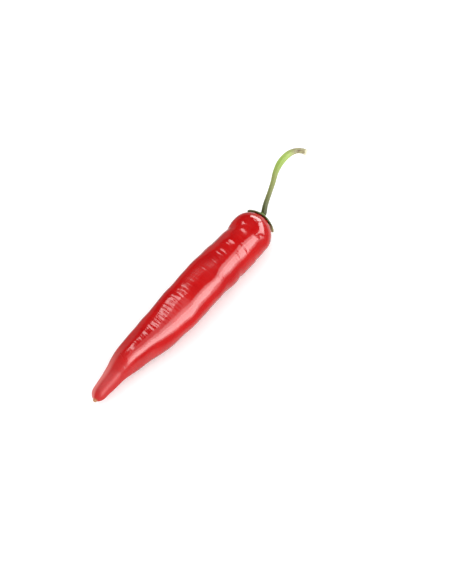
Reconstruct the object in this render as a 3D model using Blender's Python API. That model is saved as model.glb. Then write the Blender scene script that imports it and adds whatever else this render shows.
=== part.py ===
"""A fresh red chilli pepper, as picked, lying on its side: the pod, its green calyx and its curved stem.

Metres, +Z up, resting on z = 0. The pod runs along X, from its tip at -X to its crown at +X.
Angles round the pod run from +Y over the top.
"""

import math
from bisect import bisect

import bmesh
import bpy
from mathutils import Vector

# The pod. One row for each station: place from the tip, radius, sideways place of the centre, and
# height of the underside. An underside below zero is the belly, which is cut flat to rest on.
TIP_X = -0.0766
POD_LENGTH = 0.1150
POD_STATIONS = (
    (0.0000, 0.0030, 0.0030, 0.0031),
    (0.0052, 0.0034, 0.0037, 0.0028),
    (0.0123, 0.0041, 0.0040, 0.0022),
    (0.0159, 0.0046, 0.0042, 0.0019),
    (0.0192, 0.0054, 0.0042, 0.0016),
    (0.0227, 0.0061, 0.0040, 0.0013),
    (0.0298, 0.0070, 0.0033, 0.0007),
    (0.0404, 0.0086, 0.0019, 0.0000),
    (0.0477, 0.0091, 0.0014, -0.0003),
    (0.0585, 0.0097, 0.0007, -0.0004),
    (0.0737, 0.0098, 0.0008, -0.0004),
    (0.0851, 0.0098, -0.0001, -0.0004),
    (0.0969, 0.0096, -0.0005, -0.0003),
    (0.1007, 0.0095, -0.0006, -0.0001),
    (0.1050, 0.0098, -0.0003, -0.0004),
    (0.1150, 0.0098, 0.0004, -0.0003),
)
WIDEST_RADIUS = 0.0098
TIP_ROUND = 0.0042       # length of the rounding behind the beak
BEAK_LENGTH = 0.0007     # the dry remnant of the flower at the very tip
BEAK_RADIUS = 0.0009
CROWN_ROUND = 0.0108     # length of the dome at the crown
POD_RINGS = 84
POD_SIDES = 42

# Shallow furrows between the three seed chambers, and slow bends of the surface
CHAMBERS = 3
FURROW_DEPTH = 0.00020
FURROW_TURN = math.radians(50)
SWELLS = (
    # height, length of one wave, waves around the pod, phase
    (0.00014, 0.027, 1, 0.6),
    (0.00007, 0.0145, 2, 2.1),
    (0.00004, 0.0090, 3, 4.0),
)
# The three sides lean a little one way and then the other: place from the tip, height
LEAN = (
    (0.0000, 0.00000), (0.0150, -0.00030), (0.0260, -0.00066), (0.0380, -0.00024), (0.0450, 0.00014), (0.0510, 0.00046),
    (0.0640, 0.00040), (0.0760, 0.00044), (0.0812, -0.00012), (0.0845, -0.00034), (0.0870, -0.00032), (0.0960, -0.00036), (0.1014, -0.00036),
    (0.1046, 0.00002), (0.1090, 0.00000), (0.1150, 0.00000),
)
LEAN_FROM = math.radians(19)
# Hollows and bulges of this one pod: place from the tip, angle, length, width in degrees, height
DENTS = (
    (0.1000, 25, 0.0024, 45, -0.00030),
    (0.1006, 120, 0.0018, 24, 0.00026),
    (0.1010, 89, 0.0011, 13, 0.00019),
    (0.0929, 85, 0.0019, 19, 0.00044),
    (0.1056, 72, 0.0012, 34, -0.00019),
    (0.1090, 101, 0.0060, 11, -0.00034),
    (0.1070, 190, 0.0045, 42, 0.00030),
    (0.0986, 199, 0.0014, 26, -0.00030),
    (0.0874, 199, 0.0014, 24, -0.00045),
    (0.0825, 199, 0.0036, 34, 0.00026),
    (0.0700, 190, 0.0060, 30, -0.00022),
    (0.0735, 130, 0.0045, 14, 0.00034),
    (0.0640, 124, 0.0120, 16, 0.00030),
    (0.0725, 84, 0.0060, 34, 0.00020),
    (0.0800, 92, 0.0036, 24, -0.00022),
    (0.0900, 151, 0.0110, 12, 0.00018),
    (0.0242, 90, 0.0050, 26, 0.00044),
    (0.0310, 84, 0.0034, 22, 0.00030),
    (0.0578, 90, 0.0032, 18, 0.00014),
    (0.0668, 86, 0.0030, 18, 0.00009),
)
BELLY_ANGLE = 270        # the underside is plain, so that the pod rests well
BELLY_WIDTH = 38

# The calyx, a thin cap that follows the crown. Its tilt is 0 at the crown's top, 90 at the shoulder.
GAP = 0.0003             # space left between neighbouring pieces
CALYX_TEETH = 6
CALYX_TURN = 19          # angle of the first tooth
RIM_TILT = 33            # of the rim between two teeth
TOOTH_TILT = 8           # how much further down a tooth reaches
SHORT_ANGLE = 126        # the cap is narrower on this side
SHORT_WIDTH = 46
SHORT_TILT = 6.0         # how much less it reaches down there
CALYX_THICK = 0.0007
RIM_THICK = 0.0005
RIM_LIFT = 0.00015       # the rim stands off the pod by this much more than the middle
LOOSE_ANGLE = 201        # on this side the rim is thin and stands clear of the pod
LOOSE_WIDTH = 26
LOOSE_HEIGHT = 0.0011
LOOSE_THIN = 0.55        # how much thinner it is there
CURL_ANGLE = 19          # the opposite tooth is thick and curls up
CURL_WIDTH = 26
CURL_HEIGHT = 0.0007
NECK_FOOT = 0.0022       # radius of the short neck where it grows out of the cap
NECK_TOP = 0.0014
NECK_SIDE = 0.0006       # the neck and the stem stand a little to one side of the crown's top
NECK_HEIGHT = 0.0010
CALYX_SIDES = 48

# The stem: points of its centre line after its foot on the neck, with its radius there
STEM_FOOT_RADIUS = 0.00125
STEM_POINTS = (
    (0.0436, 0.0022, 0.0120, 0.00115),
    (0.0491, 0.0041, 0.0132, 0.00104),
    (0.0545, 0.0060, 0.0144, 0.00112),
    (0.0591, 0.0079, 0.0156, 0.00128),
    (0.0640, 0.0088, 0.0167, 0.00150),
    (0.0691, 0.0084, 0.0173, 0.00147),
    (0.0725, 0.0068, 0.0175, 0.00130),
    (0.0745, 0.0043, 0.0174, 0.00125),
    (0.0751, 0.0022, 0.0170, 0.00142),
)
STEM_RIBS = 5
RIB_HEIGHT = 0.00008
STEM_RINGS = 46
STEM_SIDES = 15

# Principled BSDF: colour, roughness
FINISHES = {
    "pod": ((0.58, 0.010, 0.008), 0.28),
    "calyx": ((0.045, 0.085, 0.012), 0.60),
    "stem": ((0.210, 0.290, 0.060), 0.55),
}


def clear_scene():
    for thing in list(bpy.data.objects):
        bpy.data.objects.remove(thing, do_unlink=True)


def through(table, place, column=1):
    """Reads one column of a table at a place, on the smooth curve through its rows."""
    places = [row[0] for row in table]
    values = [row[column] for row in table]
    last = len(table) - 1
    left = min(max(bisect(places, place) - 1, 0), last - 1)

    def slope(k):
        before = max(k - 1, 0)
        after = min(k + 1, last)
        return (values[after] - values[before]) / (places[after] - places[before])

    span = places[left + 1] - places[left]
    t = (place - places[left]) / span
    start = (2 * t**3 - 3 * t**2 + 1) * values[left] + (t**3 - 2 * t**2 + t) * span * slope(left)
    end = (3 * t**2 - 2 * t**3) * values[left + 1] + (t**3 - t**2) * span * slope(left + 1)
    return start + end


def round_end(place, length):
    """Share of the full radius at a place on an end that is rounded over a length."""
    inside = min(max(place / length, 0.0), 1.0)
    return math.sqrt(1 - (1 - inside) ** 2)


def end_rounding(along):
    """Share of the body's radius that the tip with its beak and the domed crown leave at a place."""
    beak = round_end(along, BEAK_LENGTH) * BEAK_RADIUS / POD_STATIONS[0][1]
    tip = max(beak, round_end(along - BEAK_LENGTH, TIP_ROUND))
    return min(tip, round_end(POD_LENGTH - along, CROWN_ROUND))


def bump(angle, centre, width):
    """A smooth rise round the pod, 1 at the centre angle. Degrees, except the first."""
    apart = abs((math.degrees(angle) - centre + 180) % 360 - 180)
    return math.exp(-((apart / width) ** 2))


def relief(along, angle):
    """Height of the furrows, swells and dents above the plain round pod."""
    turn = FURROW_TURN * along / POD_LENGTH
    height = FURROW_DEPTH * math.cos(CHAMBERS * (angle + turn))
    for rise, wave, around, phase in SWELLS:
        height += rise * math.sin(2 * math.pi * along / wave + around * angle + phase)
    height += through(LEAN, along) * math.sin(CHAMBERS * (angle - LEAN_FROM))
    height *= through(POD_STATIONS, along) / WIDEST_RADIUS
    for place, centre, length, width, rise in DENTS:
        height += rise * math.exp(-(((along - place) / length) ** 2)) * bump(angle, centre, width)
    return height * (1 - bump(angle, BELLY_ANGLE, BELLY_WIDTH))


def pod_radius(along, angle):
    rounding = end_rounding(along)
    return rounding * (through(POD_STATIONS, along) + relief(along, angle) * rounding)


def pod_centre(along):
    radius, side, underside = (through(POD_STATIONS, along, column) for column in (1, 2, 3))
    return Vector((TIP_X + along, side, radius + underside))


def pod_frame(along):
    """Unit vectors forwards, sideways (+Y) and upwards from the pod's centre line at a place."""
    step = 0.0005
    before = pod_centre(max(along - step, 0.0))
    after = pod_centre(min(along + step, POD_LENGTH))
    forwards = (after - before).normalized()
    sideways = Vector((0, 0, 1)).cross(forwards).normalized()
    return forwards, sideways, forwards.cross(sideways)


def pod_point(along, angle):
    _, sideways, up = pod_frame(along)
    out = math.cos(angle) * sideways + math.sin(angle) * up
    return pod_centre(along) + pod_radius(along, angle) * out


def ring_places(count):
    """Places along the pod, spaced over its surface and closer where it is thin or rounds off."""
    samples = 1200
    margin = 0.00002    # keeps the end rings from closing to a point
    places = [margin + (POD_LENGTH - 2 * margin) * k / samples for k in range(samples + 1)]
    runs = [0.0]
    for before, after in zip(places, places[1:]):
        near, far = (end_rounding(place) * through(POD_STATIONS, place) for place in (before, after))
        run = math.hypot(after - before, far - near)
        runs.append(runs[-1] + run / (0.25 + 0.75 * far / WIDEST_RADIUS))
    picked = []
    for k in range(count):
        wanted = runs[-1] * k / (count - 1)
        right = min(max(bisect(runs, wanted), 1), samples)
        part = (wanted - runs[right - 1]) / (runs[right] - runs[right - 1])
        picked.append(places[right - 1] + part * (places[right] - places[right - 1]))
    return picked


def angles(sides):
    return [2 * math.pi * k / sides for k in range(sides)]


def finish(name):
    colour, roughness = FINISHES[name]
    material = bpy.data.materials.new(name)
    material.use_nodes = True
    shader = material.node_tree.nodes["Principled BSDF"]
    shader.inputs["Base Color"].default_value = (*colour, 1)
    shader.inputs["Roughness"].default_value = roughness
    shader.inputs["Metallic"].default_value = 0.0
    return material


def skinned(name, rings):
    """One closed object through rings of points, with a flat face over the first and the last."""
    shape = bmesh.new()
    loops = [[shape.verts.new(point) for point in ring] for ring in rings]
    sides = len(rings[0])
    for near, far in zip(loops, loops[1:]):
        for k in range(sides):
            after = (k + 1) % sides
            shape.faces.new((near[k], near[after], far[after], far[k]))
    shape.faces.new(loops[0])
    shape.faces.new(loops[-1])
    bmesh.ops.recalc_face_normals(shape, faces=shape.faces)
    mesh = bpy.data.meshes.new(name)
    shape.to_mesh(mesh)
    shape.free()
    mesh.materials.append(finish(name))
    made = bpy.data.objects.new(name, mesh)
    bpy.context.scene.collection.objects.link(made)
    return made


def smooth(thing):
    thing.data.shade_smooth()
    thing.data.set_sharp_from_angle(angle=math.radians(50))


def cut_flat_below(thing):
    """Cuts a shape flat where it rests on z = 0."""
    depth = 0.010
    bpy.ops.mesh.primitive_cube_add(size=1, location=(0, 0, -depth / 2))
    block = bpy.context.object
    block.scale = (2 * POD_LENGTH, POD_LENGTH, depth)
    cut = thing.modifiers.new("flat_belly", "BOOLEAN")
    cut.operation = "DIFFERENCE"
    cut.solver = "EXACT"
    cut.object = block
    bpy.context.view_layer.update()
    flat = bpy.data.meshes.new_from_object(thing.evaluated_get(bpy.context.evaluated_depsgraph_get()))
    thing.modifiers.clear()
    thing.data = flat
    bpy.data.objects.remove(block, do_unlink=True)


def make_pod():
    rings = [[pod_point(along, a) for a in angles(POD_SIDES)] for along in ring_places(POD_RINGS)]
    pod = skinned("pod", rings)
    cut_flat_below(pod)
    pod.data.name = "pod"
    smooth(pod)


def crown_point(tilt, angle, height):
    """A point over the crown: its tilt from the top, the angle round it, and how far off the pod."""
    along = POD_LENGTH - CROWN_ROUND * (1 - math.cos(tilt))
    forwards, sideways, up = pod_frame(along)
    out = math.cos(angle) * sideways + math.sin(angle) * up
    wide = through(POD_STATIONS, along)
    off = (wide * math.cos(tilt) * forwards + CROWN_ROUND * math.sin(tilt) * out).normalized()
    return pod_centre(along) + pod_radius(along, angle) * out + height * off


def rim_tilt(angle):
    """How far down the crown the calyx reaches at an angle, in radians: short, uneven teeth."""
    tooth = 0.5 + 0.5 * math.cos(CALYX_TEETH * (angle - math.radians(CALYX_TURN)))
    lopsided = -3.0 * math.cos(angle - math.radians(CALYX_TURN))
    uneven = lopsided + 1.2 * math.sin(3 * angle + 2.1)
    short = SHORT_TILT * bump(angle, SHORT_ANGLE, SHORT_WIDTH)
    return math.radians(RIM_TILT + TOOTH_TILT * tooth**1.4 + uneven - short)


def calyx_ring(share, over):
    """A ring of the calyx at a share of the way out to the rim, on its upper or its under side."""
    ring = []
    for a in angles(CALYX_SIDES):
        curl = bump(a, CURL_ANGLE, CURL_WIDTH) * share**5
        loose = bump(a, LOOSE_ANGLE, LOOSE_WIDTH)
        lift = RIM_LIFT + LOOSE_HEIGHT * loose
        height = GAP + lift * share**4 + 0.4 * CURL_HEIGHT * curl
        if over:
            thick = CALYX_THICK + (RIM_THICK - CALYX_THICK) * share
            height += thick * (1 - LOOSE_THIN * loose * share) + 0.6 * CURL_HEIGHT * curl
        ring.append(crown_point(share * rim_tilt(a), a, height))
    return ring


def neck_point(height):
    """The middle of the neck at a height above the calyx."""
    forwards, sideways, _ = pod_frame(POD_LENGTH)
    foot = pod_centre(POD_LENGTH) + NECK_SIDE * sideways
    return foot + (GAP + CALYX_THICK + height) * forwards


def neck_ring(share):
    """A ring of the neck: 0 at its foot on the cap, 1 at its top under the stem."""
    reach = NECK_TOP + (NECK_FOOT - NECK_TOP) * (1 - share) ** 2
    _, sideways, up = pod_frame(POD_LENGTH)
    middle = neck_point(share * NECK_HEIGHT)
    return [middle + reach * (math.cos(a) * sideways + math.sin(a) * up) for a in angles(CALYX_SIDES)]


def make_calyx():
    outwards = (0.03, 0.22, 0.42, 0.60, 0.76, 0.89, 1.0)
    inwards = (0.97, 0.89, 0.80, 0.71)
    under = [calyx_ring(share, False) for share in outwards]
    over = [calyx_ring(share, True) for share in inwards]
    neck = [neck_ring(share) for share in (0.15, 0.40, 0.70, 1.0)]
    smooth(skinned("calyx", under + over + neck))


def stem_table():
    """Rows of run from the foot, x, y, z and radius, for the centre line of the stem."""
    rise = NECK_HEIGHT + GAP
    points = [neck_point(rise), neck_point(rise + 0.0005)] + [Vector(row[:3]) for row in STEM_POINTS]
    radii = [STEM_FOOT_RADIUS] * 2 + [row[3] for row in STEM_POINTS]
    runs = [0.0]
    for before, after in zip(points, points[1:]):
        runs.append(runs[-1] + (after - before).length)
    return [(run, *point, radius) for run, point, radius in zip(runs, points, radii)]


def make_stem():
    """The stem, swept along its centre line, with faint ribs and a cut end."""
    table = stem_table()
    length = table[-1][0]

    def centre(run):
        return Vector([through(table, run, column) for column in (1, 2, 3)])

    rings = []
    sideways = pod_frame(POD_LENGTH)[1]
    for k in range(STEM_RINGS):
        run = length * k / (STEM_RINGS - 1)
        step = 0.0003
        forwards = (centre(min(run + step, length)) - centre(max(run - step, 0.0))).normalized()
        sideways = (sideways - sideways.dot(forwards) * forwards).normalized()
        up = forwards.cross(sideways)
        ring = []
        for a in angles(STEM_SIDES):
            radius = through(table, run, 4) + RIB_HEIGHT * math.cos(STEM_RIBS * a)
            ring.append(centre(run) + radius * (math.cos(a) * sideways + math.sin(a) * up))
        rings.append(ring)
    smooth(skinned("stem", rings))


def main():
    clear_scene()
    make_pod()
    make_calyx()
    make_stem()


main()
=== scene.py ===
import math

import bmesh
import bpy
import numpy as np
from mathutils import Matrix, Vector


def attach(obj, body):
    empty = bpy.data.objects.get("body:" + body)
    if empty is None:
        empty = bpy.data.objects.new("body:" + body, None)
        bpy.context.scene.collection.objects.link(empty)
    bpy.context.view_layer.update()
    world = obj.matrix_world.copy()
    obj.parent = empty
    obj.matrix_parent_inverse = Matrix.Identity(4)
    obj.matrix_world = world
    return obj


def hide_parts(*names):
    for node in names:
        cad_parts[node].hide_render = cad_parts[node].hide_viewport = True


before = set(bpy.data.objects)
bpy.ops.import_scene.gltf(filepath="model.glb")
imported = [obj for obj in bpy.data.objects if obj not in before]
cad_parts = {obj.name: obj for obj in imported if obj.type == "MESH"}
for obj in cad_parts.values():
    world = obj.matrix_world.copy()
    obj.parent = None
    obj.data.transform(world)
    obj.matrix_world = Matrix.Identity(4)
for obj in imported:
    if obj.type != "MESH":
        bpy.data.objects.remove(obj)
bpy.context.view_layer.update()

# A red chilli pepper lying on its side. Metres, +Z up, the pod along X with its tip at -X.
# Angles round the pod run from +Y over the top.

scene = bpy.context.scene

# ---- camera

cameraSettings = {
    "azimuth": -52.7,      # degrees, 0 looks along +Y
    "elevation": 60,
    "distance": 0.711,
    "lens": 100,           # mm
    "sensor": 36,          # mm wide
    "nearest": 0.01,       # nothing closer is drawn
    "target": (-0.0010, -0.0096, 0.0080),
}


def setCamera(s):
    turn, rise = math.radians(s["azimuth"]), math.radians(s["elevation"])
    level = math.cos(rise)
    back = Vector((math.sin(turn) * level, -math.cos(turn) * level, math.sin(rise)))
    right = Vector((math.cos(turn), math.sin(turn), 0))
    data = bpy.data.cameras.new("photoView")
    data.lens = s["lens"]
    data.sensor_width = s["sensor"]
    data.clip_start = s["nearest"]
    camera = bpy.data.objects.new("photoView", data)
    axes = Matrix((right, back.cross(right), back)).transposed()
    place = Vector(s["target"]) + back * s["distance"]
    camera.matrix_world = Matrix.Translation(place) @ axes.to_4x4()
    scene.collection.objects.link(camera)
    scene.camera = camera


setCamera(cameraSettings)
print("camera set")

# ---- small helpers for the node trees


def feed(tree, socket, value):
    # a socket gets wired in, a plain value gets typed in
    if isinstance(value, bpy.types.NodeSocket):
        tree.links.new(value, socket)
    else:
        socket.default_value = value


def node(tree, kind, inputs=None, **settings):
    made = tree.nodes.new(kind)
    for key, value in settings.items():
        setattr(made, key, value)
    for key, value in (inputs or {}).items():
        feed(tree, made.inputs[key], value)
    return made


def calc(tree, operation, *values):
    made = tree.nodes.new("ShaderNodeMath")
    made.operation = operation
    for socket, value in zip(made.inputs, values):
        feed(tree, socket, value)
    return made.outputs[0]


def spread(tree, value, fromLow, fromHigh, toLow=0.0, toHigh=1.0):
    # eases a value from one range to another
    ends = {0: value, 1: fromLow, 2: fromHigh, 3: toLow, 4: toHigh}
    return node(tree, "ShaderNodeMapRange", ends, interpolation_type="SMOOTHSTEP").outputs[0]


def named(tree, name):
    made = node(tree, "GeometryNodeInputNamedAttribute", {"Name": name}, data_type="FLOAT")
    return made.outputs[0]


def vector(tree, x, y, z):
    return node(tree, "ShaderNodeCombineXYZ", {0: x, 1: y, 2: z}).outputs[0]


def circle(tree, turn, size=1.0):
    # a place on a circle, so that a pattern closes round the piece
    return [calc(tree, "MULTIPLY", calc(tree, way, turn), size) for way in ("COSINE", "SINE")]


def noise(tree, at, scale, seed, detail=2.0, roughness=0.5):
    values = {"Vector": at, "W": seed, "Scale": scale, "Detail": detail, "Roughness": roughness}
    return node(tree, "ShaderNodeTexNoise", values, noise_dimensions="4D").outputs[0]


def swing(tree, value):
    # noise from 0..1 to -1..1
    return calc(tree, "MULTIPLY", calc(tree, "SUBTRACT", value, 0.5), 2.0)


def newGeometryTree(name, settings):
    # an input for the shape, one for each setting and one for the material
    tree = bpy.data.node_groups.new(name, "GeometryNodeTree")
    tree.interface.new_socket("Geometry", in_out="INPUT", socket_type="NodeSocketGeometry")
    tree.interface.new_socket("Geometry", in_out="OUTPUT", socket_type="NodeSocketGeometry")
    for key, value in settings.items():
        kind = "NodeSocketInt" if isinstance(value, int) else "NodeSocketFloat"
        tree.interface.new_socket(key, in_out="INPUT", socket_type=kind)
    tree.interface.new_socket("Material", in_out="INPUT", socket_type="NodeSocketMaterial")
    put = tree.nodes.new("NodeGroupInput").outputs
    return tree, put, tree.nodes.new("NodeGroupOutput").inputs[0]


def raised(tree, geometry, height):
    # moves each point out of the surface
    normal = node(tree, "GeometryNodeInputNormal").outputs[0]
    offset = node(tree, "ShaderNodeVectorMath", {0: normal, "Scale": height}, operation="SCALE")
    move = {"Geometry": geometry, "Offset": offset.outputs[0]}
    return node(tree, "GeometryNodeSetPosition", move).outputs[0]


def finishGeometry(tree, geometry, material, out):
    smooth = node(tree, "GeometryNodeSetShadeSmooth", {"Geometry": geometry}).outputs[0]
    real = node(tree, "GeometryNodeRealizeInstances", {"Geometry": smooth}).outputs[0]
    last = node(tree, "GeometryNodeSetMaterial", {"Geometry": real, "Material": material})
    tree.links.new(last.outputs[0], out)


def runTree(thing, tree, values, name):
    # puts the tree on an object, sets its inputs, and returns the result as a plain mesh object
    modifier = thing.modifiers.new("nodes", "NODES")
    modifier.node_group = tree
    for item in tree.interface.items_tree:
        if item.item_type == "SOCKET" and item.in_out == "INPUT" and item.name in values:
            modifier[item.identifier] = values[item.name]
    bpy.context.view_layer.update()
    graph = bpy.context.evaluated_depsgraph_get()
    mesh = bpy.data.meshes.new_from_object(thing.evaluated_get(graph), depsgraph=graph)
    mesh.name = name
    bpy.data.objects.remove(thing, do_unlink=True)
    made = bpy.data.objects.new(name, mesh)
    scene.collection.objects.link(made)
    return made


def skinMesh(name, rings, marks):
    # a closed skin through rings of points, with a fan over each end and values at the points
    sides = len(rings[0])
    points = [tuple(p) for ring in rings for p in ring]
    firstPole, lastPole = len(points), len(points) + 1
    points += [tuple(np.mean(rings[0], axis=0)), tuple(np.mean(rings[-1], axis=0))]
    faces = []
    start = (len(rings) - 1) * sides
    for here in range(0, start, sides):
        there = here + sides
        for j in range(sides):
            after = (j + 1) % sides
            faces.append((here + j, here + after, there + after, there + j))
    for j in range(sides):
        after = (j + 1) % sides
        faces.append((after, j, firstPole))
        faces.append((start + j, start + after, lastPole))
    mesh = bpy.data.meshes.new(name)
    mesh.from_pydata(points, [], faces)
    for key, values in marks.items():
        layer = mesh.attributes.new(key, "FLOAT", "POINT")
        flat = np.asarray(values, dtype=float)
        flat = np.concatenate([flat.ravel(), [flat[0].mean(), flat[-1].mean()]])
        layer.data.foreach_set("value", flat.astype(np.float32))
    shape = bmesh.new()
    shape.from_mesh(mesh)
    bmesh.ops.recalc_face_normals(shape, faces=shape.faces)
    shape.to_mesh(mesh)
    shape.free()
    made = bpy.data.objects.new(name, mesh)
    scene.collection.objects.link(made)
    return made


# ---- the pod

podSettings = {
    "tipX": -0.0766,
    "length": 0.1150,
    # place from the tip, radius, sideways place of the centre, height of the underside
    "stations": (
        (0.0000, 0.0030, 0.0030, 0.0031),
        (0.0052, 0.0034, 0.0037, 0.0028),
        (0.0123, 0.0041, 0.0040, 0.0022),
        (0.0159, 0.0046, 0.0042, 0.0019),
        (0.0192, 0.0054, 0.0042, 0.0016),
        (0.0227, 0.0061, 0.0040, 0.0013),
        (0.0298, 0.0070, 0.0033, 0.0007),
        (0.0404, 0.0086, 0.0019, 0.0000),
        (0.0477, 0.0091, 0.0014, -0.0003),
        (0.0585, 0.0097, 0.0007, -0.0004),
        (0.0737, 0.0098, 0.0008, -0.0004),
        (0.0851, 0.0098, -0.0001, -0.0004),
        (0.0969, 0.0096, -0.0005, -0.0003),
        (0.1007, 0.0095, -0.0006, -0.0001),
        (0.1050, 0.0098, -0.0003, -0.0004),
        (0.1150, 0.0098, 0.0004, -0.0003),
    ),
    "widest": 0.0098,
    "tipRound": 0.0042,        # length over which the tip rounds off
    "beakLength": 0.0007,
    "beakRadius": 0.0009,
    "crownRound": 0.0108,
    "rings": 540,
    "sides": 168,
    "ringMargin": 0.00003,     # from each end to its first ring
    "ringThin": 0.35,          # spacing of the rings at the thin end, the widest being 1
    "furrows": 3,
    "furrowDepth": 0.00020,
    "furrowTurn": 50,          # degrees from the tip to the crown
    # height, length of one wave, waves around the pod, phase
    "swells": ((0.00014, 0.027, 1, 0.6), (0.00007, 0.0145, 2, 2.1), (0.00004, 0.0090, 3, 4.0)),
    # the sides between the furrows lean a little to and fro: place from the tip, height
    "lean": (
        (0.0000, 0.00000), (0.0150, -0.00030), (0.0260, -0.00066), (0.0380, -0.00024),
        (0.0450, 0.00014), (0.0510, 0.00046), (0.0640, 0.00040), (0.0760, 0.00044),
        (0.0812, -0.00012), (0.0845, -0.00034), (0.0870, -0.00032), (0.0960, -0.00036),
        (0.1014, -0.00036), (0.1046, 0.00002), (0.1090, 0.00000), (0.1150, 0.00000),
    ),
    "leanFrom": 19,            # degrees
    # place from the tip, angle, length, width in degrees, height
    "dents": (
        (0.1000, 25, 0.0024, 45, -0.00030),
        (0.1006, 120, 0.0018, 24, 0.00026),
        (0.1010, 89, 0.0011, 13, 0.00019),
        (0.0929, 85, 0.0019, 19, 0.00044),
        (0.1056, 72, 0.0012, 34, -0.00019),
        (0.1090, 101, 0.0060, 11, -0.00034),
        (0.1070, 190, 0.0045, 42, 0.00030),
        (0.0986, 199, 0.0014, 26, -0.00030),
        (0.0874, 199, 0.0014, 24, -0.00045),
        (0.0825, 199, 0.0036, 34, 0.00026),
        (0.0700, 190, 0.0060, 30, -0.00022),
        (0.0735, 130, 0.0045, 14, 0.00034),
        (0.0640, 124, 0.0120, 16, 0.00030),
        (0.0725, 84, 0.0060, 34, 0.00020),
        (0.0800, 92, 0.0036, 24, -0.00022),
        (0.0900, 151, 0.0110, 12, 0.00018),
        (0.0242, 90, 0.0050, 26, 0.00044),
        (0.0310, 84, 0.0034, 22, 0.00030),
        (0.0578, 90, 0.0032, 18, 0.00014),
        (0.0668, 86, 0.0030, 18, 0.00009),
    ),
    "belly": (270, 38),        # angle and width of the plain strip it lies on
    "tight": (0.0015, 0.004),  # smooth over the first at the tip, then fading in, as at the crown
    # where the skin puckers crosswise: place, angle, length, width in degrees, strength
    "puckers": (
        (0.0350, 82, 0.0060, 22, 0.85),
        (0.0435, 86, 0.0060, 24, 1.00),
        (0.0530, 82, 0.0085, 22, 0.50),
        (0.0870, 82, 0.0080, 16, 0.40),
    ),
    # larger folds near the shoulder: place, angle, length, width in degrees, height
    "folds": (
        (0.0845, 81, 0.0007, 10, 0.00015),
        (0.0869, 84, 0.0009, 15, 0.00019),
        (0.0945, 122, 0.0007, 14, -0.00014),
        (0.1039, 68, 0.0008, 10, 0.00003),
    ),
}


def through(table, places, column=1):
    # the smooth curve through one column of a table, read at many places
    at = np.array([row[0] for row in table])
    value = np.array([row[column] for row in table])
    slope = np.empty(len(at))
    slope[1:-1] = (value[2:] - value[:-2]) / (at[2:] - at[:-2])
    slope[0] = (value[1] - value[0]) / (at[1] - at[0])
    slope[-1] = (value[-1] - value[-2]) / (at[-1] - at[-2])
    places = np.asarray(places, dtype=float)
    left = np.clip(np.searchsorted(at, places, side="right") - 1, 0, len(at) - 2)
    span = at[left + 1] - at[left]
    t = (places - at[left]) / span
    start = (2 * t**3 - 3 * t**2 + 1) * value[left]
    start = start + (t**3 - 2 * t**2 + t) * span * slope[left]
    end = (3 * t**2 - 2 * t**3) * value[left + 1] + (t**3 - t**2) * span * slope[left + 1]
    return start + end


def roundEnd(place, length):
    inside = np.clip(place / length, 0, 1)
    return np.sqrt(1 - (1 - inside) ** 2)


def bump(angle, centre, width):
    # 1 at an angle round the piece, falling away on both sides
    apart = np.abs((np.degrees(angle) - centre + 180) % 360 - 180)
    return np.exp(-((apart / width) ** 2))


def podRounding(s, along):
    # how far the radius is drawn in towards both ends
    beak = roundEnd(along, s["beakLength"]) * s["beakRadius"] / s["stations"][0][1]
    tip = np.maximum(beak, roundEnd(along - s["beakLength"], s["tipRound"]))
    return np.minimum(tip, roundEnd(s["length"] - along, s["crownRound"]))


def podRelief(s, along, angle):
    turn = math.radians(s["furrowTurn"]) * along / s["length"]
    height = s["furrowDepth"] * np.cos(s["furrows"] * (angle + turn))
    for rise, wave, around, phase in s["swells"]:
        height = height + rise * np.sin(2 * math.pi * along / wave + around * angle + phase)
    leaned = angle - math.radians(s["leanFrom"])
    height = height + through(s["lean"], along) * np.sin(s["furrows"] * leaned)
    height = height * through(s["stations"], along) / s["widest"]
    for place, centre, length, width, rise in s["dents"] + s["folds"]:
        mound = np.exp(-(((along - place) / length) ** 2)) * bump(angle, centre, width)
        height = height + rise * mound
    return height * (1 - bump(angle, *s["belly"]))


def podRadius(s, along, angle):
    rounding = podRounding(s, along)
    return rounding * (through(s["stations"], along) + podRelief(s, along, angle) * rounding)


def podCentre(s, along):
    along = np.asarray(along, dtype=float)
    radius, side, under = (through(s["stations"], along, column) for column in (1, 2, 3))
    return np.stack([s["tipX"] + along, side, radius + under], axis=-1)


def podFrame(s, along):
    # the directions forwards, sideways and up at places on the pod's axis
    along = np.asarray(along, dtype=float)
    step = 0.0005
    ahead, behind = np.minimum(along + step, s["length"]), np.maximum(along - step, 0)
    forwards = podCentre(s, ahead) - podCentre(s, behind)
    forwards /= np.linalg.norm(forwards, axis=-1, keepdims=True)
    sideways = np.cross([0.0, 0.0, 1.0], forwards)
    sideways /= np.linalg.norm(sideways, axis=-1, keepdims=True)
    return forwards, sideways, np.cross(forwards, sideways)


def podPlaces(s):
    # evenly spaced over the surface, and closer where the pod is thin
    tries = 6000
    places = np.linspace(s["ringMargin"], s["length"] - s["ringMargin"], tries)
    radii = podRounding(s, places) * through(s["stations"], places)
    spacing = s["ringThin"] + (1 - s["ringThin"]) * radii[1:] / radii.max()
    runs = np.hypot(np.diff(places), np.diff(radii)) / spacing
    runs = np.concatenate([[0.0], np.cumsum(runs)])
    return np.interp(np.linspace(0, runs[-1], s["rings"]), runs, places)


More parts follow.
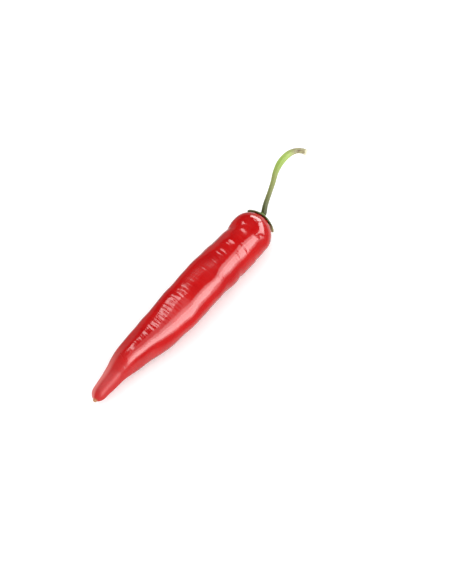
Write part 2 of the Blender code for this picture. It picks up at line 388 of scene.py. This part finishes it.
def podMesh(s):
    along = podPlaces(s)[:, None]
    angle = (2 * math.pi * np.arange(s["sides"]) / s["sides"])[None, :]
    _, sideways, up = podFrame(s, along[:, 0])
    out = np.cos(angle)[..., None] * sideways[:, None, :]
    out = out + np.sin(angle)[..., None] * up[:, None, :]
    points = podCentre(s, along[:, 0])[:, None, :] + podRadius(s, along, angle)[..., None] * out
    puckered = np.zeros((len(along), s["sides"]))
    for place, centre, length, width, strength in s["puckers"]:
        patch = strength * np.exp(-(((along - place) / length) ** 2))
        puckered = np.maximum(puckered, patch * bump(angle, centre, width))
    tight, fade = s["tight"]
    ends = np.clip((along - tight) / fade, 0, 1) * np.clip((s["length"] - along) / fade, 0, 1)
    ends = ends * through(s["stations"], along) / s["widest"]
    marks = {
        "along": along + 0 * angle,
        "around": angle + 0 * along,
        "puckered": puckered,
        "loose": ends * (1 - bump(angle, *s["belly"])),
    }
    return skinMesh("podForm", points, marks)


podSkinSettings = {
    "Fine Length": 0.00072,      # of the crosswise wrinkles
    "Fine Width": 0.0060,
    "Fine Height": 0.000044,
    "Fine Detail": 1.5,
    "Fine Roughness": 0.45,
    "Pucker Height": 0.000220,   # what puckers add to that height
    "Swell Size": 0.0085,        # slow unevenness
    "Swell Height": 0.00006,
    "Girth": 0.0095,             # radius that the pattern takes the pod to have
    "Smooth From": 0.1030,       # over these places the wrinkles fade towards the crown
    "Smooth To": 0.1075,
    "Smooth Share": 0.2,         # and this share of them is left on it
    "Seed": 4.0,
}


def podSkinTree():
    tree, put, out = newGeometryTree("podSkin", podSkinSettings)
    along = named(tree, "along")
    crosswise = calc(tree, "DIVIDE", put["Girth"], put["Fine Width"])
    lengthwise = calc(tree, "DIVIDE", along, put["Fine Length"])
    at = vector(tree, lengthwise, *circle(tree, named(tree, "around"), crosswise))
    wrinkle = noise(tree, at, 1.0, put["Seed"], put["Fine Detail"], put["Fine Roughness"])
    puckers = calc(tree, "MULTIPLY", named(tree, "puckered"), put["Pucker Height"])
    strength = calc(tree, "ADD", put["Fine Height"], puckers)
    wrinkle = calc(tree, "MULTIPLY", swing(tree, wrinkle), strength)
    kept = spread(tree, along, put["Smooth From"], put["Smooth To"], 1.0, put["Smooth Share"])
    wrinkle = calc(tree, "MULTIPLY", wrinkle, kept)
    place = node(tree, "GeometryNodeInputPosition").outputs[0]
    perSize = calc(tree, "DIVIDE", 1.0, put["Swell Size"])
    swell = swing(tree, noise(tree, place, perSize, put["Seed"], detail=1.0))
    swell = calc(tree, "MULTIPLY", swell, put["Swell Height"])
    height = calc(tree, "MULTIPLY", calc(tree, "ADD", wrinkle, swell), named(tree, "loose"))
    skin = raised(tree, put["Geometry"], height)
    # the belly rests on the surface
    parts = node(tree, "ShaderNodeSeparateXYZ", {0: place}).outputs
    flat = vector(tree, parts[0], parts[1], calc(tree, "MAXIMUM", parts[2], 0.0))
    rested = node(tree, "GeometryNodeSetPosition", {"Geometry": skin, "Position": flat})
    finishGeometry(tree, rested.outputs[0], put["Material"], out)
    return tree


# ---- the calyx

calyxSettings = {
    "gap": 0.0003,                      # to the pod, and to the stem
    "teeth": 6,
    "turn": 19,                         # degrees to the thick tooth
    "rimTilt": 33,                      # degrees down from the crown's top
    "toothTilt": 8,
    "toothSharp": 1.4,
    "lopsided": 3.0,                    # degrees that the thick tooth's side reaches less
    "wavy": (1.2, 3, 2.1),              # degrees, waves round the rim, phase
    "shortSide": (126, 46, 6.0),        # angle, width, degrees that it reaches less
    "thick": 0.0007,
    "rimThick": 0.0005,
    "rimLift": 0.00015,
    "liftBend": 4,                      # higher bends up nearer the rim
    "looseSide": (201, 26, 0.0011),     # angle, width, height that the rim stands clear
    "looseThin": 0.55,                  # share that it is thinner there
    "curl": (19, 26, 0.0007),           # angle, width, height of the thick tooth
    "curlBend": 5,
    "curlThick": 0.6,                   # share of that height that is thickness
    # shares of the reach where the rings lie
    "underRings": (0.03, 0.2, 0.35, 0.5, 0.62, 0.72, 0.8, 0.87, 0.93, 0.97, 0.99),
    "rimRings": ((1.0, 0.14), (1.006, 0.35), (1.008, 0.55), (1.004, 0.8)),
    "upperRings": (0.99, 0.965, 0.93, 0.88, 0.82, 0.76, 0.71),
    "neckRings": (0.15, 0.27, 0.40, 0.55, 0.70, 0.85, 1.0),
    "neckFoot": 0.0022,
    "neckTop": 0.0014,
    "neckSide": 0.0006,
    "neckHeight": 0.0010,
    "neckFlute": 0.05,                  # share of the radius
    "neckReach": 0.25,                  # how far out its foot counts for the colours
    "sides": 180,
    "ribRise": 0.00010,
}


def crownPoints(s, tilt, angle, height):
    # points over the crown: tilt from its top, angle round it, height off the pod
    along = s["length"] - s["crownRound"] * (1 - np.cos(tilt))
    forwards, sideways, up = podFrame(s, along)
    out = np.cos(angle)[..., None] * sideways + np.sin(angle)[..., None] * up
    wide = through(s["stations"], along)
    off = (wide * np.cos(tilt))[..., None] * forwards
    off = off + (s["crownRound"] * np.sin(tilt))[..., None] * out
    off /= np.linalg.norm(off, axis=-1, keepdims=True)
    skin = podCentre(s, along) + podRadius(s, along, angle)[..., None] * out
    return skin + height[..., None] * off


def calyxRimTilt(c, angle):
    # how far down the crown the rim reaches, all the way round
    turned = angle - math.radians(c["turn"])
    tooth = (0.5 + 0.5 * np.cos(c["teeth"] * turned)) ** c["toothSharp"]
    rise, waves, phase = c["wavy"]
    uneven = -c["lopsided"] * np.cos(turned) + rise * np.sin(waves * angle + phase)
    short = c["shortSide"][2] * bump(angle, *c["shortSide"][:2])
    return np.radians(c["rimTilt"] + c["toothTilt"] * tooth + uneven - short)


def calyxMesh(c, s):
    angle = 2 * math.pi * np.arange(c["sides"]) / c["sides"]
    forwards, sideways, up = (v.reshape(3) for v in podFrame(s, np.array([s["length"]])))
    ribs = np.cos(c["teeth"] * (angle - math.radians(c["turn"])))
    rings, out, top = [], [], []

    def add(points, share, upper):
        rings.append(points)
        out.append(np.full(c["sides"], share))
        top.append(np.full(c["sides"], upper))

    def capRing(share, part):
        # part 0 is the underside, 1 the upper side
        curl = bump(angle, *c["curl"][:2]) * share ** c["curlBend"] * c["curl"][2]
        loose = bump(angle, *c["looseSide"][:2])
        lift = c["rimLift"] + c["looseSide"][2] * loose
        thick = c["thick"] + (c["rimThick"] - c["thick"]) * share
        thick = thick * (1 - c["looseThin"] * loose * share) + c["curlThick"] * curl
        rib = c["ribRise"] * ribs * (1 - share)
        height = c["gap"] + lift * share ** c["liftBend"] + (1 - c["curlThick"]) * curl
        height = height + part * (thick + rib)
        return crownPoints(s, share * calyxRimTilt(c, angle), angle, height)

    for share in c["underRings"]:
        add(capRing(share, 0.0), share, 0.0)
    for share, part in c["rimRings"]:
        add(capRing(share, part), 1.0, 0.5)
    for share in c["upperRings"]:
        add(capRing(share, 1.0), share, 1.0)
    for share in c["neckRings"]:
        reach = c["neckTop"] + (c["neckFoot"] - c["neckTop"]) * (1 - share) ** 2
        flute = 1 + c["neckFlute"] * ribs * (1 - share)
        height = c["gap"] + c["thick"] + c["neckHeight"] * share
        middle = podCentre(s, s["length"]) + c["neckSide"] * sideways + height * forwards
        across = np.cos(angle)[:, None] * sideways + np.sin(angle)[:, None] * up
        add(middle + (reach * flute)[:, None] * across, c["neckReach"] * (1 - share), 1.0)
    marks = {"reach": out, "upper": top, "around": [angle] * len(rings)}
    return skinMesh("calyxForm", rings, marks)


calyxSkinSettings = {"Grain Size": 0.0011, "Grain Height": 0.00006, "Seed": 2.0}


def calyxSkinTree():
    tree, put, out = newGeometryTree("calyxSkin", calyxSkinSettings)
    place = node(tree, "GeometryNodeInputPosition").outputs[0]
    perSize = calc(tree, "DIVIDE", 1.0, put["Grain Size"])
    grain = swing(tree, noise(tree, place, perSize, put["Seed"]))
    height = calc(tree, "MULTIPLY", grain, put["Grain Height"])
    height = calc(tree, "MULTIPLY", height, named(tree, "upper"))
    finishGeometry(tree, raised(tree, put["Geometry"], height), put["Material"], out)
    return tree


# ---- the stem

stemSettings = {
    "footRadius": 0.00125,
    "footStep": 0.0005,        # it starts straight over this length
    # x, y, z, radius
    "points": (
        (0.0436, 0.0022, 0.0120, 0.00115),
        (0.0491, 0.0041, 0.0132, 0.00104),
        (0.0545, 0.0060, 0.0144, 0.00112),
        (0.0591, 0.0079, 0.0156, 0.00128),
        (0.0640, 0.0088, 0.0167, 0.00150),
        (0.0691, 0.0084, 0.0173, 0.00147),
        (0.0725, 0.0068, 0.0175, 0.00130),
        (0.0745, 0.0043, 0.0174, 0.00125),
        (0.0751, 0.0022, 0.0170, 0.00142),
    ),
    "steps": 360,
    "endRound": 0.00022,       # the cut end's edge is worn round over this length
    "endShare": 0.84,          # share of the radius that is left there
}
stemSkinSettings = {
    "Ribs": 5.0,
    "Rib Height": 0.075,       # share of the radius
    "Sides": 60,
    "Fibre Length": 0.0050,
    "Fibre Width": 0.00042,
    "Fibre Height": 0.00005,
    "Girth": 0.0012,           # radius and length that the pattern takes the stem to have
    "Run": 0.042,
    "Seed": 7.0,
}


def stemPath(t, c, s):
    # the centre line as a curve with its thickness at each point
    forwards, sideways, _ = (Vector(v.reshape(3)) for v in podFrame(s, np.array([s["length"]])))
    base = Vector(podCentre(s, s["length"])) + c["neckSide"] * sideways
    rise = 2 * c["gap"] + c["thick"] + c["neckHeight"]
    points = [base + rise * forwards, base + (rise + t["footStep"]) * forwards]
    points += [Vector(row[:3]) for row in t["points"]]
    radii = [t["footRadius"]] * 2 + [row[3] for row in t["points"]]
    runs = [0.0]
    for before, after in zip(points, points[1:]):
        runs.append(runs[-1] + (after - before).length)
    table = [(run, *point, radius) for run, point, radius in zip(runs, points, radii)]
    places = np.linspace(0, runs[-1], t["steps"])
    line = np.stack([through(table, places, column) for column in (1, 2, 3)], axis=1)
    thick = through(table, places, 4)
    fromEnd = np.clip((runs[-1] - places) / t["endRound"], 0, 1)
    worn = np.sqrt(1 - (1 - fromEnd) ** 2)
    thick = thick * (t["endShare"] + (1 - t["endShare"]) * worn)
    data = bpy.data.curves.new("stemPath", "CURVE")
    data.dimensions = "3D"
    spline = data.splines.new("POLY")
    spline.points.add(len(places) - 1)
    for point, at, radius in zip(spline.points, line, thick):
        point.co = (*at, 1.0)
        point.radius = radius
    made = bpy.data.objects.new("stemPath", data)
    scene.collection.objects.link(made)
    return made


def stemSkinTree():
    tree, put, out = newGeometryTree("stemSkin", stemSkinSettings)

    def keep(geometry, name):
        # stores how far along the curve each point is
        share = node(tree, "GeometryNodeSplineParameter").outputs["Factor"]
        values = {"Geometry": geometry, "Name": name, "Value": share}
        kind = {"data_type": "FLOAT", "domain": "POINT"}
        return node(tree, "GeometryNodeStoreNamedAttribute", values, **kind).outputs[0]

    path = keep(put["Geometry"], "run")
    circleSize = {"Resolution": put["Sides"], "Radius": 1.0}
    ring = keep(node(tree, "GeometryNodeCurvePrimitiveCircle", circleSize).outputs[0], "around")
    turn = calc(tree, "MULTIPLY", named(tree, "around"), 2 * math.pi)
    rib = calc(tree, "COSINE", calc(tree, "MULTIPLY", turn, put["Ribs"]))
    rib = calc(tree, "ADD", calc(tree, "MULTIPLY", rib, put["Rib Height"]), 1.0)
    place = node(tree, "GeometryNodeInputPosition").outputs[0]
    ribbed = node(tree, "ShaderNodeVectorMath", {0: place, "Scale": rib}, operation="SCALE")
    move = {"Geometry": ring, "Position": ribbed.outputs[0]}
    ring = node(tree, "GeometryNodeSetPosition", move).outputs[0]
    radius = node(tree, "GeometryNodeInputRadius").outputs[0]
    sweep = {"Curve": path, "Profile Curve": ring, "Scale": radius, "Fill Caps": True}
    swept = node(tree, "GeometryNodeCurveToMesh", sweep).outputs[0]
    # fine fibres run along the stem
    crosswise = calc(tree, "DIVIDE", put["Girth"], put["Fibre Width"])
    lengthwise = calc(tree, "DIVIDE", put["Run"], put["Fibre Length"])
    lengthwise = calc(tree, "MULTIPLY", named(tree, "run"), lengthwise)
    at = vector(tree, *circle(tree, turn, crosswise), lengthwise)
    fibre = swing(tree, noise(tree, at, 1.0, put["Seed"]))
    fibre = calc(tree, "MULTIPLY", fibre, put["Fibre Height"])
    finishGeometry(tree, raised(tree, swept, fibre), put["Material"], out)
    return tree


# ---- materials


def newShaderGroup(name, inputs, outputs):
    tree = bpy.data.node_groups.new(name, "ShaderNodeTree")
    for key, kind, value in inputs:
        socket = tree.interface.new_socket(key, in_out="INPUT", socket_type=kind)
        if value is not None:
            socket.default_value = value
    for key, kind in outputs:
        tree.interface.new_socket(key, in_out="OUTPUT", socket_type=kind)
    put = tree.nodes.new("NodeGroupInput").outputs
    return tree, put, tree.nodes.new("NodeGroupOutput").inputs


groupSettings = {
    "speckShare": 0.3,           # of the specks in the mottling, the patches have the rest
    "mottleEdge": (0.36, 0.64),
    "slowScale": 0.1,            # the roughness changes in patches ten times the grain's size
    "slowEdge": (0.3, 0.7),
}


def blendColour(tree, share, first, second):
    made = node(tree, "ShaderNodeMix", data_type="RGBA")
    for socket, value in ((0, share), (6, first), (7, second)):
        feed(tree, made.inputs[socket], value)
    return made.outputs[2]


def mottleGroup(g):
    # two colours in soft patches, with a finer mottling over them
    tree, put, out = newShaderGroup(
        "mottle",
        [("Light", "NodeSocketColor", None), ("Deep", "NodeSocketColor", None),
         ("Patch Size", "NodeSocketFloat", 0.01), ("Speck Size", "NodeSocketFloat", 0.001),
         ("Seed", "NodeSocketFloat", 1.0)],
        [("Color", "NodeSocketColor")])
    at = node(tree, "ShaderNodeTexCoord").outputs["Object"]
    broad = noise(tree, at, calc(tree, "DIVIDE", 1.0, put["Patch Size"]), put["Seed"], detail=3.0)
    fine = noise(tree, at, calc(tree, "DIVIDE", 1.0, put["Speck Size"]), put["Seed"], detail=2.0)
    broad = calc(tree, "MULTIPLY", broad, 1 - g["speckShare"])
    mixed = calc(tree, "ADD", broad, calc(tree, "MULTIPLY", fine, g["speckShare"]))
    mask = spread(tree, mixed, *g["mottleEdge"])
    tree.links.new(blendColour(tree, mask, put["Light"], put["Deep"]), out["Color"])
    return tree


def grainGroup(g):
    # a fine uneven surface for bump, and a matching change of roughness
    tree, put, out = newShaderGroup(
        "grain",
        [("Size", "NodeSocketFloat", 0.0006), ("Smooth", "NodeSocketFloat", 0.25),
         ("Rough", "NodeSocketFloat", 0.35), ("Seed", "NodeSocketFloat", 1.0)],
        [("Height", "NodeSocketFloat"), ("Roughness", "NodeSocketFloat")])
    at = node(tree, "ShaderNodeTexCoord").outputs["Object"]
    fine = noise(tree, at, calc(tree, "DIVIDE", 1.0, put["Size"]), put["Seed"], detail=3.0)
    slow = noise(tree, at, calc(tree, "DIVIDE", g["slowScale"], put["Size"]), put["Seed"])
    share = spread(tree, slow, *g["slowEdge"])
    gain = calc(tree, "SUBTRACT", put["Rough"], put["Smooth"])
    tree.links.new(fine, out["Height"])
    tree.links.new(calc(tree, "MULTIPLY_ADD", share, gain, put["Smooth"]), out["Roughness"])
    return tree


groups = {"mottle": mottleGroup(groupSettings), "grain": grainGroup(groupSettings)}


def newMaterial(name, constants):
    material = bpy.data.materials.new(name)
    material.use_nodes = True
    shader = material.node_tree.nodes["Principled BSDF"]
    for key, value in constants.items():
        shader.inputs[key].default_value = value
    return material, material.node_tree, shader.inputs


def useGroup(tree, name, values):
    made = node(tree, "ShaderNodeGroup", node_tree=groups[name])
    for key, value in values.items():
        feed(tree, made.inputs[key], value)
    return made.outputs


def mark(tree, name):
    made = node(tree, "ShaderNodeAttribute", attribute_name=name, attribute_type="GEOMETRY")
    return made.outputs["Fac"]


def facing(tree, around, side):
    # 1 where the surface looks to an angle round the pod, in degrees
    return calc(tree, "COSINE", calc(tree, "SUBTRACT", around, math.radians(side)))


def bumpNormal(tree, height, distance, strength):
    values = {"Height": height, "Distance": distance, "Strength": strength}
    return node(tree, "ShaderNodeBump", values).outputs[0]


podLooks = {
    "light": (0.500, 0.003, 0.003, 1),
    "deep": (0.430, 0.001, 0.002, 1),
    "mottle": {"Patch Size": 0.009, "Speck Size": 0.0012, "Seed": 3.0},
    "pale": (0.760, 0.230, 0.210, 1),      # painted highlight: pale pink painted on one side of the dull tip
    "paintedHighlightSide": 32,
    "paleReach": (0.66, 1.0, 0.0, 0.65),   # cosine from the painted highlight's side: from, to, share at both
    "beak": (0.420, 0.200, 0.080, 1),
    "beakReach": (0.0014, 0.0004),
    "grain": {"Size": 0.00055, "Smooth": 0.14, "Rough": 0.20, "Seed": 5.0},
    "grainBump": (0.000008, 0.5),
    "tipRough": 0.50,
    "dullTip": (0.0285, 0.011),            # the gloss fades between these places
    "coat": 0.62,
    "finish": {
        "IOR": 1.5, "Specular IOR Level": 0.42, "Coat Roughness": 0.11, "Coat IOR": 1.5,
        "Sheen Weight": 0.22, "Sheen Roughness": 0.25, "Sheen Tint": (0.90, 0.12, 0.09, 1),
    },
}


def podMaterial(k):
    material, tree, into = newMaterial("chilliSkin", k["finish"])
    along = mark(tree, "along")
    mottled = useGroup(tree, "mottle", {"Light": k["light"], "Deep": k["deep"], **k["mottle"]})
    dull = spread(tree, along, *k["dullTip"])
    # painted highlight: a pale pink patch on one side of the dull tip, in place of a reflection
    pale = spread(tree, facing(tree, mark(tree, "around"), k["paintedHighlightSide"]), *k["paleReach"])
    colour = blendColour(tree, calc(tree, "MULTIPLY", dull, pale), mottled["Color"], k["pale"])
    colour = blendColour(tree, spread(tree, along, *k["beakReach"]), colour, k["beak"])
    grain = useGroup(tree, "grain", k["grain"])
    extra = calc(tree, "MULTIPLY", dull, k["tipRough"] - k["grain"]["Rough"])
    tree.links.new(colour, into["Base Color"])
    tree.links.new(calc(tree, "ADD", grain["Roughness"], extra), into["Roughness"])
    tree.links.new(calc(tree, "MULTIPLY_ADD", dull, -k["coat"], k["coat"]), into["Coat Weight"])
    tree.links.new(bumpNormal(tree, grain["Height"], *k["grainBump"]), into["Normal"])
    return material


calyxLooks = {
    "light": (0.075, 0.115, 0.016, 1),
    "deep": (0.020, 0.030, 0.007, 1),
    "mottle": {"Patch Size": 0.004, "Speck Size": 0.0006, "Seed": 8.0},
    "spots": (0.060, 0.028, 0.010, 1),     # brown spots
    "spotNoise": (260.0, 6.0),             # scale, seed
    "spotReach": (0.52, 0.68),
    # towards the middle, at the rim and on the underside: colour, then from, to, share at both
    "ridge": ((0.220, 0.300, 0.070, 1), (0.75, 0.20, 0.0, 0.75)),
    "rim": ((0.120, 0.170, 0.040, 1), (0.93, 1.0, 0.0, 0.6)),
    "under": ((0.230, 0.120, 0.035, 1), (0.4, 0.1, 0.0, 0.85)),
    # the thick tooth is brown and the loose one has dried: angle, cosine at its edge, colour
    "teeth": (
        (19, 0.80, (0.105, 0.095, 0.024, 1)),
        (201, 0.90, (0.480, 0.560, 0.300, 1)),
    ),
    "toothFull": 0.99,                     # cosine where the colour is full
    "toothShare": 0.9,
    "toothReach": (0.4, 0.8),              # from the middle outwards
    "grain": {"Size": 0.0004, "Smooth": 0.5, "Rough": 0.75, "Seed": 2.0},
    "grainBump": (0.00003, 0.6),
    "finish": {"IOR": 1.45, "Specular IOR Level": 0.4},
}


def calyxMaterial(k):
    material, tree, into = newMaterial("calyxSkin", k["finish"])
    mottled = useGroup(tree, "mottle", {"Light": k["light"], "Deep": k["deep"], **k["mottle"]})
    at = node(tree, "ShaderNodeTexCoord").outputs["Object"]
    spots = spread(tree, noise(tree, at, *k["spotNoise"]), *k["spotReach"])
    colour = blendColour(tree, spots, mottled["Color"], k["spots"])
    reach, around = mark(tree, "reach"), mark(tree, "around")
    for name, value in (("ridge", reach), ("rim", reach), ("under", mark(tree, "upper"))):
        shade, ends = k[name]
        colour = blendColour(tree, spread(tree, value, *ends), colour, shade)
    outer = spread(tree, reach, *k["toothReach"])
    for side, wide, shade in k["teeth"]:
        share = spread(tree, facing(tree, around, side), wide, k["toothFull"], 0.0, k["toothShare"])
        colour = blendColour(tree, calc(tree, "MULTIPLY", share, outer), colour, shade)
    grain = useGroup(tree, "grain", k["grain"])
    tree.links.new(colour, into["Base Color"])
    tree.links.new(grain["Roughness"], into["Roughness"])
    tree.links.new(bumpNormal(tree, grain["Height"], *k["grainBump"]), into["Normal"])
    return material


stemLooks = {
    # share of the stem's length, colour
    "ramp": (
        (0.00, (0.065, 0.075, 0.022, 1)),
        (0.10, (0.100, 0.115, 0.032, 1)),
        (0.25, (0.190, 0.205, 0.056, 1)),
        (0.45, (0.270, 0.310, 0.078, 1)),
        (0.62, (0.290, 0.430, 0.060, 1)),
        (0.76, (0.350, 0.480, 0.095, 1)),
        (0.86, (0.360, 0.350, 0.150, 1)),
        (0.97, (0.360, 0.320, 0.160, 1)),
    ),
    "shift": 0.10,                             # how far streaks pull the colours along
    # each noise: scale, seed, detail, roughness
    "streak": (2.2, 4.0, 3.0, 0.6),
    "streakRun": 7.0,                          # how often it changes along the stem
    "fibre": (6.0, 9.0, 2.0, 0.5),
    "fibreRun": 2.0,
    "patch": (3.4, 12.0, 3.0, 0.5),
    "flake": (5.0, 15.0, 2.0, 0.5),
    # the share of a colour that is laid over: from, to, share at both
    "dark": (0.050, 0.060, 0.020, 1),          # between the fibres
    "darkReach": (0.52, 0.75, 0.0, 0.45),
    "endReach": (0.78, 0.88),                  # along the stem, where the dry end begins
    "dry": (0.190, 0.130, 0.080, 1),
    "dryReach": (0.47, 0.60),
    "pale": (0.640, 0.620, 0.420, 1),
    "paleReach": (0.56, 0.66),
    "cut": (0.800, 0.760, 0.560, 1),
    "cutReach": (0.965, 0.990),
    "grain": {"Size": 0.00045, "Smooth": 0.42, "Rough": 0.65, "Seed": 9.0},
    "grainBump": (0.00004, 0.5),
    "finish": {"IOR": 1.45, "Specular IOR Level": 0.45},
}


def stemMaterial(k):
    material, tree, into = newMaterial("stemSkin", k["finish"])
    run = mark(tree, "run")
    rounded = circle(tree, calc(tree, "MULTIPLY", mark(tree, "around"), 2 * math.pi))
    # the colours change along the stem, and streaks follow its fibres
    at = vector(tree, *rounded, calc(tree, "MULTIPLY", run, k["streakRun"]))
    streak = calc(tree, "SUBTRACT", noise(tree, at, *k["streak"]), 0.5)
    shifted = calc(tree, "ADD", run, calc(tree, "MULTIPLY", streak, k["shift"]))
    ramp = node(tree, "ShaderNodeValToRGB", {0: shifted})
    stops = ramp.color_ramp.elements
    while len(stops) < len(k["ramp"]):
        stops.new(0.5)
    for stop, (place, colour) in zip(stops, k["ramp"]):
        stop.position = place
        stop.color = colour
    fine = vector(tree, *rounded, calc(tree, "MULTIPLY", run, k["fibreRun"]))
    fibres = noise(tree, fine, *k["fibre"])
    colour = blendColour(tree, spread(tree, fibres, *k["darkReach"]), ramp.outputs[0], k["dark"])
    # the end is dry, with paler flakes, and the cut itself is pale
    nearEnd = spread(tree, run, *k["endReach"])
    for name, over in (("patch", "dry"), ("flake", "pale")):
        share = spread(tree, noise(tree, at, *k[name]), *k[over + "Reach"])
        colour = blendColour(tree, calc(tree, "MULTIPLY", share, nearEnd), colour, k[over])
    colour = blendColour(tree, spread(tree, shifted, *k["cutReach"]), colour, k["cut"])
    grain = useGroup(tree, "grain", k["grain"])
    height = calc(tree, "ADD", grain["Height"], fibres)
    tree.links.new(colour, into["Base Color"])
    tree.links.new(grain["Roughness"], into["Roughness"])
    tree.links.new(bumpNormal(tree, height, *k["grainBump"]), into["Normal"])
    return material


# ---- putting the pepper together


def place(piece, nodeName):
    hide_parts(nodeName)
    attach(piece, "root")
    print(nodeName, "made:", len(piece.data.polygons), "faces")


podValues = {**podSkinSettings, "Material": podMaterial(podLooks)}
pod = runTree(podMesh(podSettings), podSkinTree(), podValues, "chilliPod")
place(pod, "pod")

calyxValues = {**calyxSkinSettings, "Material": calyxMaterial(calyxLooks)}
calyxForm = calyxMesh(calyxSettings, podSettings)
calyx = runTree(calyxForm, calyxSkinTree(), calyxValues, "chilliCalyx")
place(calyx, "calyx")

stemValues = {**stemSkinSettings, "Material": stemMaterial(stemLooks)}
stemLine = stemPath(stemSettings, calyxSettings, podSettings)
stem = runTree(stemLine, stemSkinTree(), stemValues, "chilliStem")
place(stem, "stem")

# ---- floor and light

floorSettings = {
    "size": 3.0,
    "colour": (0.950, 0.948, 0.945, 1),
    "roughness": 0.9,
    "reflected": (0.13, 0.127, 0.123, 1),     # its colour in the skin's gloss
    "beside": (0.45, 0.445, 0.44, 1),         # the same, close to the pepper
    "closeBand": (0.030, 0.012),              # how far from the pepper's line that is
    "sheen": (0.09, 0.082, 0.078, 1),         # light from there in the gloss of the skin's edges
    "glow": (0.13, 0.13, 0.13, 1),            # a light table, which thins the shadow
}


def makeFloor(s):
    bpy.ops.mesh.primitive_plane_add(size=s["size"], location=(0, 0, 0))
    floor = bpy.context.object
    floor.name = "floor"
    finish = {"Roughness": s["roughness"], "Specular IOR Level": 0.0, "Emission Strength": 1.0}
    material, tree, into = newMaterial("paleFloor", finish)
    path = node(tree, "ShaderNodeLightPath").outputs
    glossy, seen = path["Is Glossy Ray"], path["Is Camera Ray"]
    at = node(tree, "ShaderNodeTexCoord").outputs["Object"]
    across = node(tree, "ShaderNodeSeparateXYZ", {0: at}).outputs[1]
    near = spread(tree, calc(tree, "ABSOLUTE", across), *s["closeBand"])
    reflected = blendColour(tree, near, s["reflected"], s["beside"])
    tree.links.new(blendColour(tree, glossy, s["colour"], reflected), into["Base Color"])
    glow = blendColour(tree, seen, (0, 0, 0, 1), s["glow"])
    lit = calc(tree, "MULTIPLY", near, glossy)
    tree.links.new(blendColour(tree, lit, glow, s["sheen"]), into["Emission Color"])
    floor.data.materials.append(material)


# each softbox: direction from the pod, distance, width along the pod, height across it, power
softboxes = {
    "key": ((0.0725, -0.904, 0.421), 0.80, 0.75, 0.43, 5.7),
    "core": ((0.0725, -0.940, 0.333), 0.79, 0.74, 0.21, 0.35),
    "low": ((0.0725, -0.991, 0.113), 0.81, 0.75, 0.155, 0.75),
    "above": ((0.080, -0.660, 0.747), 0.80, 0.72, 0.30, 2.1),
    "top": ((-0.050, -0.260, 0.965), 0.80, 0.40, 0.46, 0.5),
    "side": ((0.175, 0.432, 0.885), 0.80, 0.17, 0.85, 2.3),
    "end": ((0.852, -0.416, 0.317), 0.80, 0.62, 0.36, 4.1),
    "crown": ((0.955, 0.235, 0.180), 0.80, 0.36, 0.22, 1.6),
    "fill": ((-0.100, -0.950, 0.280), 0.80, 0.80, 0.50, 2.2),
}
alongPod = (1, 0, 0)
# two have their width across the pod
turnedBoxes = {"end": (0.438, 0.899, 0.0), "crown": (-0.242, 0.970, 0.0)}
softOnes = {"fill"}       # soft light only, while the others show in the gloss alone


def addSoftbox(name, direction, distance, width, height, power):
    away = Vector(direction).normalized()
    across = Vector(turnedBoxes.get(name, alongPod))
    across = (across - away * away.dot(across)).normalized()
    data = bpy.data.lights.new(name, "AREA")
    data.shape = "RECTANGLE"
    data.size, data.size_y = width, height
    data.energy = power
    light = bpy.data.objects.new(name, data)
    axes = Matrix((across, away.cross(across), away)).transposed()
    light.matrix_world = Matrix.Translation(away * distance) @ axes.to_4x4()
    light.visible_diffuse = name in softOnes
    light.visible_glossy = name not in softOnes
    scene.collection.objects.link(light)


# how bright the pale room is behind the floor, as soft light, and in reflections
roomSettings = {"seen": 0.97, "soft": 1.25, "reflected": 0.02}


def setRoom(s):
    world = bpy.data.worlds.new("paleRoom")
    world.use_nodes = True
    tree = world.node_tree
    shade = tree.nodes["Background"]
    path = node(tree, "ShaderNodeLightPath").outputs
    soft = calc(tree, "MULTIPLY_ADD", path["Is Glossy Ray"], s["reflected"] - s["soft"], s["soft"])
    behind = calc(tree, "MULTIPLY", path["Is Camera Ray"], s["seen"] - s["soft"])
    tree.links.new(calc(tree, "ADD", soft, behind), shade.inputs["Strength"])
    shade.inputs["Color"].default_value = (1, 1, 1, 1)
    scene.world = world


makeFloor(floorSettings)
for lightName, settings in softboxes.items():
    addSoftbox(lightName, *settings)
setRoom(roomSettings)
scene.view_settings.view_transform = "Standard"
print("floor and light set")
